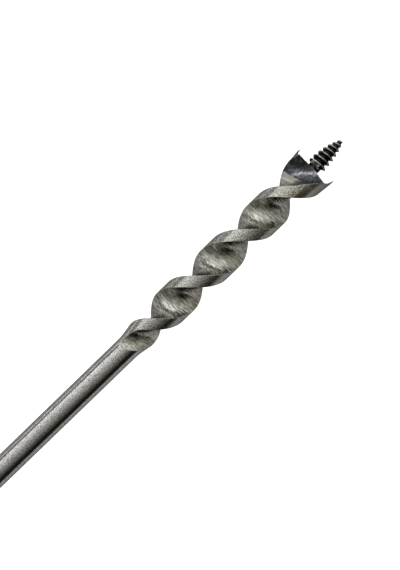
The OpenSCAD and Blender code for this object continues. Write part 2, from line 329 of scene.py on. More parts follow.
# ------------------------------------------------------------------ the bit's steel
def bit_material():
    m = Mat("bit_steel")
    heat, thread, polish, heel, ridge = m.attr("blacked"), m.attr("thread"), m.attr("polish"), m.attr("heel"), m.attr("ridge")
    line, across = m.attr("line"), m.attr("across")
    # fine pitting of the ground lands and of the shank, and the streaks that the grinding left along the bar
    grain = m.noise(2.5, 2.0, 0.62)
    fine = m.noise(6.5, 2.0, 0.6)
    ground = m.noise(1.0, 2.0, 0.6, stretch=(0.35, 2.6, 2.6))
    blot = m.noise(0.35, 3.0, 0.6)
    # milling lines run across the flutes, one beside the other along the axis
    along = m.combine(line, across, m.math("MULTIPLY", line, 0.37))
    lines = m.noise(1.0, 1.5, 0.7, vec=along, stretch=(2.6, 0.5, 0.0))
    broad = m.step(m.noise(1.0, 2.0, 0.5, vec=along, stretch=(0.75, 0.16, 0.0), distort=0.25), 0.4, 0.6)
    # the lines nick the edges of the lands
    face = m.step(m.math("ADD", m.attr("face"), m.math("MULTIPLY", m.math("SUBTRACT", lines, 0.5), 1.3)), 0.36, 0.5)
    # the black skin from hardening, with an uneven edge
    edge = m.math("ADD", heat, m.math("MULTIPLY", m.math("SUBTRACT", m.noise(1.3, 3.0, 0.6), 0.5), 0.9))
    black = m.step(edge, -0.12, 0.12)
    scale_ = m.noise(2.2, 3.0, 0.7)
    patchy = m.noise(0.8, 3.0, 0.6)
    # beside the skin the flute is scraped smooth, up to a low ridge that the mesh does not carry; a near-white painted
    # highlight line stands along it
    satin = m.math("MULTIPLY", m.step(ridge, -3.4, -2.6), m.step(ridge, 1.4, 0.2))
    ridge_highlight = m.step(m.math("ABSOLUTE", m.math("ADD", ridge, m.math("MULTIPLY", m.math("SUBTRACT", blot, 0.5), 0.5))), 0.2, 0.04)
    heeled = m.step(m.math("ADD", heel, m.math("MULTIPLY", m.math("SUBTRACT", grain, 0.5), 0.3)), -0.08, 0.08)
    # colours
    speck = m.noise(3.8, 1.0, 0.5)
    land = m.mix(m.step(speck, 0.36, 0.64), (0.21, 0.206, 0.196), (0.67, 0.66, 0.64))
    land = m.mix(m.math("MULTIPLY", m.step(ground, 0.42, 0.66), 0.45), land, (0.52, 0.52, 0.51))
    land = m.mix(m.math("MULTIPLY", m.step(blot, 0.45, 0.75), 0.25), land, (0.39, 0.374, 0.322))
    # the lands are a little duller and warmer than the polished shank
    land = m.mix(m.math("SUBTRACT", 1.0, polish), land, (0.89, 0.89, 0.85), blend="MULTIPLY")
    back = m.mix(m.step(blot, 0.35, 0.65), (0.44, 0.43, 0.34), (0.54, 0.53, 0.43))
    land = m.mix(heeled, land, m.mix(m.step(heel, 0.6, 4.6), back, (0.27, 0.27, 0.265)))
    groove = m.mix(m.step(lines, 0.37, 0.63), (0.195, 0.187, 0.161), (0.65, 0.632, 0.582))
    groove = m.mix(m.math("MULTIPLY", m.step(grain, 0.42, 0.62), 0.45), groove, (0.52, 0.504, 0.458))
    groove = m.mix(m.math("MULTIPLY", broad, 0.3), groove, (0.24, 0.228, 0.185))
    groove = m.mix(m.math("MULTIPLY", m.step(blot, 0.4, 0.7), 0.3), groove, (0.364, 0.338, 0.275))
    groove = m.mix(m.math("MULTIPLY", satin, 0.75), groove, (0.56, 0.54, 0.46))
    # painted highlight: a near-white line along the ridge
    groove = m.mix(m.math("MULTIPLY", ridge_highlight, 0.9), groove, (0.96, 0.96, 0.96))
    # a pitted band on the land, behind the smooth heel of the head
    sandy = m.math("MULTIPLY", m.step(heel, -3.4, -1.2), m.math("SUBTRACT", 1.0, heeled))
    land = m.mix(m.math("MULTIPLY", sandy, 0.9), land, m.mix(m.step(grain, 0.42, 0.58), (0.27, 0.25, 0.19), (0.86, 0.83, 0.73)))
    steel = m.mix(face, land, groove)
    skin = m.mix(m.step(scale_, 0.42, 0.62), (0.05, 0.052, 0.058), (0.25, 0.262, 0.29))
    skin = m.mix(m.math("MULTIPLY", m.step(patchy, 0.42, 0.6), 0.55), skin, (0.04, 0.041, 0.045))
    # in the cup of the head a painted highlight streak runs along one line, with painted shade (blacker) on one side of
    # it and a painted grey reflection (greyer, and rougher) on the other
    streak_offset = m.math("ADD", m.attr("streak_offset"), m.math("MULTIPLY", m.math("SUBTRACT", m.math("ADD", scale_, patchy), 1.0), 0.36))
    painted_streak = m.math("MULTIPLY", m.step(m.math("ABSOLUTE", streak_offset), 0.16, 0.04), m.step(grain, 0.36, 0.56, 0.2, 0.95))
    # painted shade on one side of the streak line, painted grey reflection on the other
    shade_side, grey_reflection_side = m.step(streak_offset, 0.2, 0.42), m.step(streak_offset, -0.2, -0.42)
    skin = m.mix(m.math("MULTIPLY", shade_side, 0.6), skin, m.mix(m.step(fine, 0.45, 0.6), (0.02, 0.021, 0.023), (0.12, 0.125, 0.13)))
    skin = m.mix(m.math("MULTIPLY", grey_reflection_side, 0.8), skin, m.mix(m.step(scale_, 0.4, 0.6), (0.07, 0.072, 0.078), (0.3, 0.31, 0.33)))
    # painted highlight streak along the line
    skin = m.mix(painted_streak, skin, (0.4, 0.41, 0.44))
    # on the lead screw the colour follows height on the thread: the crests are worn steel with a painted highlight, the
    # roots black skin darkened further as painted shade
    lift = m.attr("lift")
    crest_wear_and_highlight = m.mix(m.step(grain, 0.4, 0.7), (0.26, 0.256, 0.245), (0.62, 0.61, 0.59))
    skin = m.mix(thread, skin, m.mix(m.step(lift, 0.48, 0.9), (0.0364, 0.0351, 0.0338), crest_wear_and_highlight))
    m.set("Base Color", m.mix(black, steel, skin))
    m.set("Metallic", 1.0)
    m.set("Specular Tint", (0.45, 0.45, 0.45))
    r_land = m.math("SUBTRACT", m.step(grain, 0.3, 0.7, 0.11, 0.18, smooth=False), m.math("MULTIPLY", polish, 0.05))
    r_land = m.math("ADD", r_land, m.math("ADD", m.math("MULTIPLY", heeled, 0.1), m.math("MULTIPLY", sandy, 0.24)))
    r_face = m.math("ADD", m.step(lines, 0.3, 0.7, 0.15, 0.09, smooth=False), m.math("MULTIPLY", satin, 0.22))
    r_skin = m.math("ADD", m.step(scale_, 0.35, 0.65, 0.17, 0.1, smooth=False), m.math("MULTIPLY", grey_reflection_side, 0.3))
    keep, off = m.math("SUBTRACT", 1.0, face), m.math("SUBTRACT", 1.0, black)
    rough = m.math("ADD", m.math("MULTIPLY", r_land, keep), m.math("MULTIPLY", r_face, face))
    rough = m.math("ADD", m.math("MULTIPLY", rough, off), m.math("MULTIPLY", r_skin, black))
    m.set("Roughness", rough)
    h_face = m.math("ADD", m.math("MULTIPLY", lines, 4.6), m.math("MULTIPLY", broad, 0.9))
    h_face = m.math("ADD", h_face, m.math("MULTIPLY", grain, 1.2))
    h_face = m.math("MULTIPLY", h_face, m.math("SUBTRACT", 1.0, m.math("MULTIPLY", satin, 0.7)))
    h_land = m.math("ADD", m.math("ADD", m.math("MULTIPLY", grain, 2.1), m.math("MULTIPLY", speck, 1.1)),m.math("ADD", m.math("MULTIPLY", fine, 0.15), m.math("MULTIPLY", ground, 0.9)))
    h_land = m.math("MULTIPLY", h_land, m.math("SUBTRACT", 1.0, m.math("MULTIPLY", polish, 0.7)))
    h_land = m.math("MULTIPLY", h_land, m.math("SUBTRACT", 1.0, m.math("MULTIPLY", heeled, 0.8)))
    h_skin = m.math("ADD", m.math("MULTIPLY", scale_, 0.7), m.math("MULTIPLY", patchy, 0.25))
    h_skin = m.math("MULTIPLY", h_skin, m.math("SUBTRACT", 1.0, m.math("MULTIPLY", thread, 0.6)))
    h = m.math("ADD", m.math("MULTIPLY", h_land, keep), m.math("MULTIPLY", h_face, face))
    h = m.math("ADD", m.math("MULTIPLY", h, off), m.math("MULTIPLY", h_skin, black))
    m.set("Normal", m.bump(h, 1.0, 0.00003))
    return m.m


# ------------------------------------------------------------------ the handle's materials
def iron_material():
    m = Mat("socket_iron")
    pits = m.noise(1.5, 5.0, 0.65)
    sand = m.noise(5.0, 3.0, 0.7)
    blot = m.noise(0.16, 4.0, 0.6)
    wear = m.step(m.math("ADD", m.attr("wear"), m.math("MULTIPLY", m.math("SUBTRACT", m.noise(0.9, 4.0, 0.65), 0.5), 0.9)), 0.45, 0.75)
    skin = m.mix(m.step(pits, 0.35, 0.7), (0.018, 0.019, 0.021), (0.05, 0.052, 0.055))
    skin = m.mix(m.math("MULTIPLY", m.step(blot, 0.5, 0.75), 0.55), skin, (0.062, 0.042, 0.03))
    m.set("Base Color", m.mix(wear, skin, (0.27, 0.265, 0.255)))
    m.set("Metallic", m.math("ADD", 0.45, m.math("MULTIPLY", wear, 0.55)))
    m.set("Roughness", m.math("SUBTRACT", m.step(sand, 0.3, 0.7, 0.5, 0.72, smooth=False), m.math("MULTIPLY", wear, 0.25)))
    m.set("Normal", m.bump(m.math("ADD", pits, m.math("MULTIPLY", sand, 0.35)), 0.9, 0.00016))
    return m.m


def turned_steel(name, dark, light, rough, marks=9.0, bump=0.00002, tint=None):
    m = Mat(name)
    r, y, a, dx, dz = m.about_handle()
    rings = m.noise(1.0, 3.0, 0.6, vec=m.combine(m.math("MULTIPLY", r, marks), m.math("MULTIPLY", y, marks), m.math("MULTIPLY", a, 0.7)))
    fine = m.noise(3.5, 3.0, 0.6)
    blot = m.noise(0.5, 4.0, 0.6)
    col = m.mix(m.step(rings, 0.3, 0.7), dark, light)
    col = m.mix(m.math("MULTIPLY", m.step(blot, 0.5, 0.75), 0.5), col, tint or tuple(c * 0.55 for c in dark))
    m.set("Base Color", col)
    m.set("Metallic", 1.0)
    m.set("Roughness", m.math("ADD", m.step(rings, 0.25, 0.75, rough - 0.07, rough + 0.09, smooth=False), m.math("MULTIPLY", m.step(fine, 0.4, 0.8), 0.1)))
    m.set("Normal", m.bump(m.math("ADD", rings, m.math("MULTIPLY", fine, 0.3)), 0.8, bump))
    return m.m


def brass_material():
    m = Mat("ferrule_brass")
    r, y, a, dx, dz = m.about_handle()
    rings = m.noise(1.0, 3.0, 0.6, vec=m.combine(m.math("MULTIPLY", r, 8.0), m.math("MULTIPLY", y, 8.0), m.math("MULTIPLY", a, 0.9)))
    blot = m.noise(0.28, 4.0, 0.62)
    spots = m.noise(1.3, 4.0, 0.7)
    col = m.mix(m.step(rings, 0.3, 0.7), (0.52, 0.36, 0.13), (0.66, 0.5, 0.22))
    col = m.mix(m.math("MULTIPLY", m.step(blot, 0.42, 0.72), 0.65), col, (0.3, 0.19, 0.075))
    col = m.mix(m.math("MULTIPLY", m.step(spots, 0.62, 0.75), 0.7), col, (0.1, 0.065, 0.03))
    m.set("Base Color", col)
    m.set("Metallic", 1.0)
    m.set("Roughness", m.math("ADD", m.step(blot, 0.35, 0.75, 0.2, 0.42, smooth=False), m.math("MULTIPLY", m.step(spots, 0.5, 0.8), 0.14)))
    m.set("Normal", m.bump(m.math("ADD", rings, m.math("MULTIPLY", spots, 0.6)), 0.7, 0.00002))
    return m.m


def wood_material():
    m = Mat("grip_wood")
    r, y, a, dx, dz = m.about_handle()
    # growth rings about a pith that lies beside the grip and runs a little askew
    warp = m.noise(0.035, 3.0, 0.55, stretch=(1.0, 0.35, 1.0))
    warp2 = m.noise(0.16, 3.0, 0.55, stretch=(1.0, 0.14, 1.0))
    px = m.math("ADD", m.math("ADD", dx, 26.0), m.math("MULTIPLY", m.math("SUBTRACT", warp, 0.5), 22.0))
    pz = m.math("ADD", m.math("ADD", dz, m.math("MULTIPLY", y, 0.06)), m.math("MULTIPLY", m.math("SUBTRACT", warp2, 0.5), 4.0))
    ring = m.math("SQRT", m.math("ADD", m.math("MULTIPLY", px, px), m.math("MULTIPLY", pz, pz)))
    saw = m.math("FRACT", m.math("MULTIPLY", ring, 0.52))
    late = m.math("MULTIPLY", m.step(saw, 0.15, 0.86), m.step(saw, 1.0, 0.9))
    fibre = m.noise(1.0, 4.0, 0.6, stretch=(2.6, 0.09, 2.6))
    pores = m.noise(1.0, 2.0, 0.5, stretch=(4.6, 0.32, 4.6))
    pore = m.math("MULTIPLY", m.step(pores, 0.6, 0.68), m.math("ADD", 0.35, m.math("MULTIPLY", late, 0.65)))
    cloud = m.noise(0.06, 3.0, 0.6, stretch=(1.0, 0.5, 1.0))
    col = m.mix(late, (0.4, 0.185, 0.068), (0.19, 0.07, 0.025))
    col = m.mix(m.math("MULTIPLY", m.step(fibre, 0.35, 0.7), 0.45), col, (0.47, 0.235, 0.09))
    col = m.mix(m.math("MULTIPLY", m.step(cloud, 0.4, 0.7), 0.35), col, (0.2, 0.082, 0.032))
    col = m.mix(m.math("MULTIPLY", pore, 0.8), col, (0.06, 0.025, 0.012))
    burnt = m.attr("burnt")
    col = m.mix(m.math("MULTIPLY", burnt, 0.95), col, (0.045, 0.02, 0.01))
    m.set("Base Color", col)
    m.set("Roughness", m.math("ADD", m.step(cloud, 0.3, 0.7, 0.3, 0.42, smooth=False), m.math("MULTIPLY", pore, 0.3)))
    m.p.inputs["Coat Weight"].default_value = 0.35
    m.p.inputs["Coat Roughness"].default_value = 0.18
    h = m.math("SUBTRACT", m.math("MULTIPLY", fibre, 0.5), m.math("MULTIPLY", pore, 1.0))
    h = m.math("SUBTRACT", h, m.math("MULTIPLY", late, 0.15))
    m.set("Normal", m.bump(h, 0.7, 0.00008))
    return m.m


def plain_floor():
    m = Mat("floor")
    soft = m.noise(0.004, 2.0, 0.5)
    m.set("Base Color", m.mix(soft, (0.29, 0.29, 0.29), (0.31, 0.31, 0.31)))
    m.set("Roughness", 0.9)
    # the picture is exposed so that the table is pure white; what the metal mirrors of it is a mid grey,
    # with a brighter strip behind the tool
    m.p.inputs["Emission Color"].default_value = (1, 1, 1, 1)
    y = m.split(m.co)[1]
    strip = m.math("MULTIPLY", m.step(y, 85.0, 125.0), m.step(y, 260.0, 170.0))
    glow = m.math("ADD", 0.3, m.math("MULTIPLY", strip, 1.5))
    seen = m.nt.nodes.new("ShaderNodeLightPath").outputs["Is Camera Ray"]
    m.set("Emission Strength", m.math("MAXIMUM", glow, m.math("MULTIPLY", seen, 1.15)))
    m.p.inputs["Specular IOR Level"].default_value = 0.1
    return m.m


BIT = bit_material()
IRON = iron_material()
FITTINGS = turned_steel("fittings_steel", (0.3, 0.295, 0.285), (0.5, 0.49, 0.475), 0.27)
ROD = turned_steel("rod_steel", (0.33, 0.325, 0.32), (0.52, 0.515, 0.5), 0.24, marks=5.0)
SPRING = turned_steel("spring_steel", (0.08, 0.085, 0.11), (0.15, 0.16, 0.2), 0.25)
BRASS = brass_material()
WOOD = wood_material()


# ------------------------------------------------------------------ the bit
def ease(t):
    t = np.clip(t, 0, 1)
    return t * t * (3 - 2 * t)


def land_at(a):
    a = np.asarray(a, float)
    head = LAND_R + 0.53 + (HEAD_R - LAND_R - 0.53) * (HEAD_BACK - a) / 6.3
    mid = LAND_R + 0.53 * (1 - ease((a - HEAD_BACK) / 6))
    back = SHANK_R + (LAND_R - SHANK_R) * (1 - ease((a - 64.8) / 12))
    return np.where(a < HEAD_BACK, head, np.where(a < 28.8, mid, back))


def phase(a):
    a = np.maximum(a, 10.8)
    return (32.3 - 360 * a / PITCH + 9.5 * ease((a - 32.8) / 18)
            + 7 * np.exp(-((a - 17.9) / 3.8) ** 2) - 0.27 * np.maximum(0, a - 51.8))


def half_at(a):
    b = LAND_HALF + 10.5 * (1 - ease((a - 9.8) / 8))
    if a <= RUN_AT:
        return b
    k = min((a - RUN_AT) / RUN_L, 1)
    v = (land_at(RUN_AT) * math.sin(math.radians(LAND_HALF)) * (1 - k) + SHANK_R * k) / land_at(a)
    return math.degrees(math.asin(min(max(v, 0.3), 0.9995)))


def web_at(a):
    if a <= RUN_AT:
        return WEB
    k = min((a - RUN_AT) / RUN_L, 1)
    f = land_at(a) * math.sin(math.radians(half_at(a)))
    return float(f - (land_at(RUN_AT) * math.sin(math.radians(LAND_HALF)) - WEB) * (1 - k))


NL, NC, NF = 16, 4, 44      # steps over a land, over one eased corner, over a flute face
NSEC = 2 * (NL + NF + 2 * NC)


def section(a, corner=0.12):
    """outline of the section at a, with the place of each point: face share, place across the face, angle over the land"""
    r, b, wv = float(land_at(a)), math.radians(half_at(a)), web_at(a)
    pts, kind, across, ang = [], [], [], []
    rise = r * math.sin(b) - wv
    slope = math.atan2(2 * rise, r * math.cos(b))
    d = min(corner, 0.4 * r * b)
    dq = d / r
    du = d / (r * math.cos(b))
    land = [(r * math.cos(q), r * math.sin(q), q) for q in np.linspace(-b + dq, b - dq, NL + 1)[:-1]]

    def face(u):
        return r * math.cos(b) * u, wv + rise * u * u

    def bez(p, c, q, n):
        return [((1 - t) ** 2 * p[0] + 2 * t * (1 - t) * c[0] + t * t * q[0],
                 (1 - t) ** 2 * p[1] + 2 * t * (1 - t) * c[1] + t * t * q[1], t) for t in np.arange(n) / n]
    half = []
    for x_, y_, q in land:
        half.append((x_, y_, 0.45 * max(0.0, 1 - r * (b - abs(q)) / 0.4), 1.0 if q > 0 else -1.0, q))
    c1 = (r * math.cos(b), r * math.sin(b))
    p1 = (r * math.cos(b - dq), r * math.sin(b - dq))
    for x_, y_, t in bez(p1, c1, face(1 - du), NC):
        half.append((x_, y_, t * 0.9, 1.0, b))
    for u in np.linspace(1 - du, -1 + du, NF + 1)[:-1]:
        x_, y_ = face(u)
        half.append((x_, y_, 1.0, u, 0.0))
    c2 = (-r * math.cos(b), r * math.sin(b))
    p2 = (-r * math.cos(b - dq), r * math.sin(b - dq))
    for x_, y_, t in bez(face(-1 + du), c2, p2, NC):
        half.append((x_, y_, 1 - t * 0.9, -1.0, -b))
    half = np.array(half)
    other = half.copy()
    other[:, :2] *= -1
    return np.concatenate([half, other])


def place(p, a, f=None):
    f = np.radians(phase(a) if f is None else f)
    return np.stack([TIP - a + 0 * p[:, 0], -(p[:, 0] * np.sin(f) + p[:, 1] * np.cos(f)),
                     AX + p[:, 0] * np.cos(f) - p[:, 1] * np.sin(f)], -1)


def end_a(p):
    r = np.hypot(p[:, 0], p[:, 1])
    sideways = np.clip(p[:, 1] * np.sign(p[:, 0] + 1e-4) / 2.5, -1, 1)
    return SCREW_L + r / 6 * (0.75 + 0.33 * (1 - sideways))


SPUR_TIP = 8.65
HEAD_A = 12.2
RIM_T, WALL_T = 0.14, 0.4


def spur(q, b):
    up = np.clip((q + b) / (b - 12), 0, 1) ** 1.5
    return np.where(q < -12, up, np.clip((18 - q) / 30, 0, 1))


def crest_at(a):
    return CREST * (1 - np.exp(-(a + 0.75) / 3.9))


def turns(a):
    c, d = 1.16, 0.04
    return (-c + np.sqrt(c * c + 4 * d * np.maximum(-8, a - 0.5))) / (2 * d)


def screw_r(a, phi):
    c = crest_at(a)
    ro = c * ROOT
    f = turns(a) + (phi + 90) / 360
    h = (0.5 + 0.5 * np.cos(2 * math.pi * f)) ** 1.1
    fade = 1 - ease((a - 8.6) / 0.9)
    r = ro + (c - ro) * h * fade
    # a small ground flat over the last thread, beside the lip
    flat = 2.12 * (1 - 0.09 * np.abs(a - 9.0)) / np.maximum(np.cos(np.radians((phi + 12 + 180) % 360 - 180)), 0.5)
    near = np.abs((phi + 12 + 180) % 360 - 180) < 24 + 9 * (a - 8.3)
    return np.where(near & (a > 8.3) & (a < 9.7), np.minimum(np.maximum(r, flat), 2.45), r)


def make_bit():
    rings, heat, face, thread, polish, line, across, heel, ridge, lift, streak_offset = [], [], [], [], [], [], [], [], [], [], []
    u_of = np.concatenate([section(40.0)[:, 3]])
    side_of = np.repeat([0.0, 40.0], NSEC // 2)

    def add(pts, h, f, t=0.0, pol=0.0, hl=-5.0, rd=-5.0, up=0.0, streak_off=0.18):
        streak_offset.append(np.broadcast_to(streak_off, (NSEC,)).copy())
        lift.append(np.broadcast_to(up, (NSEC,)).copy())
        rings.append(pts)
        polish.append(np.full(NSEC, pol))
        line.append(TIP - pts[:, 0])
        heel.append(np.broadcast_to(hl, (NSEC,)).copy())
        ridge.append(np.broadcast_to(rd, (NSEC,)).copy())
        across.append(4.0 * u_of + side_of)
        heat.append(np.broadcast_to(h, (NSEC,)).copy())
        face.append(np.broadcast_to(f, (NSEC,)).copy())
        thread.append(np.full(NSEC, t))

    sec = section(RUN_AT + RUN_L + 0.7)
    phi = np.arctan2(sec[:, 1], sec[:, 0])
    circle = np.stack([np.cos(phi), np.sin(phi)], -1)
    f_end = float(phase(77.8))
    # square tang, with eased edges and a small chamfer at its end
    world = phi + math.radians(f_end)
    hw = TANG_W / 2
    sq = hw / np.maximum(np.abs(np.cos(world)), np.abs(np.sin(world)))
    sq = np.minimum(sq, hw * 1.36)
    x_tang = SHOULDER - TANG_L
    for x_, k in ((x_tang, 0.86), (x_tang + 0.35, 1.0), (x_tang + 3, 1.0), (x_tang + 8, 1.0), (SHOULDER - 0.05, 1.0)):
        add(place(circle * (sq * k)[:, None], TIP - x_, f_end), -5, 0, 0, 1)
    for x_, r_ in ((SHOULDER, SHANK_R - 0.35), (SHOULDER + 0.05, SHANK_R - 0.3), (SHOULDER + 0.35, SHANK_R)):
        rr = np.maximum(np.minimum(sq, r_), r_ if x_ > SHOULDER else 0)
        add(place(circle * rr[:, None], TIP - x_, f_end), -5, 0, 0, 1)
    for x_ in np.linspace(SHOULDER + 3, TIP - 78.6, 40):
        add(place(circle * SHANK_R, TIP - x_, f_end), -5, 0, 0, 1)

    def body(a):
        s_ = section(a)
        u = s_[:, 3]
        top = 14.8 + 0.35 * u + 0.25 * u * u
        share = s_[:, 2] * np.clip((RUN_AT + RUN_L - 0.2 - a) / 0.8, 0, 1)
        # the last argument places the painted highlight streak in the cup of the head
        add(place(s_[:, :2], a), np.where(share > 0.46, top - a, -4.0), share, 0, float(ease((a - 66) / 8)),
            17.5 + 2.25 * s_[:, 4] / math.radians(half_at(a)) - a, a - 16.15 - 0.5 * u,
            streak_off=np.where(share > 0.46, u + 0.227 - 0.153 * (a - 10.65), 0.18))
    for a in (77.8, 77.35):
        body(a)
    for a in np.arange(77.05, 66, -0.16):
        body(a)
    for a in np.arange(66, 20.5, -0.24):
        body(a)
    for a in np.linspace(20.5, HEAD_A, 48):
        body(a)
    # the end of the head, with a spur on each land
    s0 = section(HEAD_A)
    b0 = math.radians(half_at(HEAD_A))
    e0 = end_a(s0)
    land = (s0[:, 2] < 0.95)
    q = np.where(land, np.degrees(s0[:, 4]), 0.0)
    top = np.where(land, e0 - (e0 - SPUR_TIP) * spur(q, math.degrees(b0)), e0)
    for t in np.linspace(0.08, 1, 12):
        pts = np.zeros((NSEC, 3))
        for i in range(NSEC):
            a = HEAD_A + (top[i] - HEAD_A) * t
            s_ = section(a) if land[i] else None
            p = s_[i, :2] if land[i] else s0[i, :2] * (land_at(a) / land_at(HEAD_A))
            pts[i] = place(p[None], a)[0]
        add(pts, np.where(land, -1.6 + 1.4 * t * t, 2.0), s0[:, 2], hl=5.0,
            streak_off=np.where(land, 0.18, s0[:, 3] + 0.227 - 0.153 * (HEAD_A + (top - HEAD_A) * t - 10.65)))
    outer = np.array([(section(top[i])[i, :2] if land[i] else s0[i, :2] * (land_at(top[i]) / land_at(HEAD_A))) for i in range(NSEC)])
    ro = np.hypot(outer[:, 0], outer[:, 1])
    unit = outer / ro[:, None]
    thin = np.where(land, RIM_T, 0.05 * ro / 6)
    p = unit * (ro - thin)[:, None]
    a_rim = np.where(land, top, end_a(p))
    add(np.stack([place(p[i][None], a_rim[i])[0] for i in range(NSEC)]), np.where(land, 0.15, 2.0), 0.5, hl=5.0)
    deep = np.where(land, WALL_T, 0.12 * ro / 6)
    for k in (0.5, 1.0):
        p = unit * (ro - thin - (deep - thin) * k)[:, None]
        ea = end_a(p)
        a_w = np.where(land, top + (ea - top) * k, ea)
        add(np.stack([place(p[i][None], a_w[i])[0] for i in range(NSEC)]), 2.0, 0.5)
    start = unit * (ro - deep)[:, None]
    rs0 = np.hypot(start[:, 0], start[:, 1])
    base_r = 1.5
    for t in np.linspace(0.08, 1, 12):
        rad = rs0 + (base_r - rs0) * t
        p = unit * rad[:, None]
        add(place(p, 0, 0) * 0 + np.stack([place(p[i][None], end_a(p)[i])[0] for i in range(NSEC)]), 3.0, 0.5)
    # lead screw
    lip_f = float(phase(10.8))
    ang = np.degrees(np.arctan2(unit[:, 1], unit[:, 0])) + lip_f
    for a in np.concatenate([[9.98, 9.9], np.arange(9.8, 0.1, -0.065), [0.06, 0.0]]):
        r_ = screw_r(a, ang)
        if a > 9.85:
            r_ = np.full(NSEC, 1.5 + 0.1 * (9.98 - a) / 0.13)
        if a < 0.1:
            r_ = r_ * (0.86 if a > 0.01 else 0.62)
        th = np.radians(ang)
        share = np.clip((r_ / crest_at(a) - ROOT) / (1 - ROOT), 0, 1)
        add(np.stack([np.full(NSEC, TIP - a), -r_ * np.sin(th), AX + r_ * np.cos(th)], -1), 4.0, 0.0, 1.0, up=share)
    m = len(rings)
    v = np.concatenate(rings + [np.array([[x_tang, 0, AX], [TIP, 0, AX]])])
    nv = len(v)
    jj, ii = np.meshgrid(np.arange(m - 1), np.arange(NSEC), indexing="ij")
    p0 = jj * NSEC + ii
    q0 = jj * NSEC + (ii + 1) % NSEC
    faces = np.stack([q0, p0, p0 + NSEC, q0 + NSEC], -1).reshape(-1, 4).tolist()
    for i in range(NSEC):
        faces.append([nv - 2, i, (i + 1) % NSEC])
        faces.append([nv - 1, (m - 1) * NSEC + (i + 1) % NSEC, (m - 1) * NSEC + i])
    attrs = {k: np.concatenate([np.concatenate(x), x2]) for k, x, x2 in
             (("blacked", heat, [-5, 5]), ("face", face, [0, 0]), ("thread", thread, [0, 1]), ("polish", polish, [1, 0]),
              ("line", line, [0, 0]), ("across", across, [0, 0]), ("heel", heel, [-5, 5]), ("ridge", ridge, [-5, -5]), ("lift", lift, [0, 1]),
              ("streak_offset", streak_offset, [0.18, 0.18]))}
    return put("auger_bit_detail", v, faces, "bit", ["auger_bit"], [BIT], attrs=attrs, sharp=40)


bit = make_bit()


# ------------------------------------------------------------------ the cast socket
def merged(parts):
    v, f, n = [], [], 0
    for vv, ff in parts:
        v.append(np.asarray(vv, float))
        f += [[x + n for x in face] for face in ff]
        n += len(vv)
    return np.concatenate(v), f


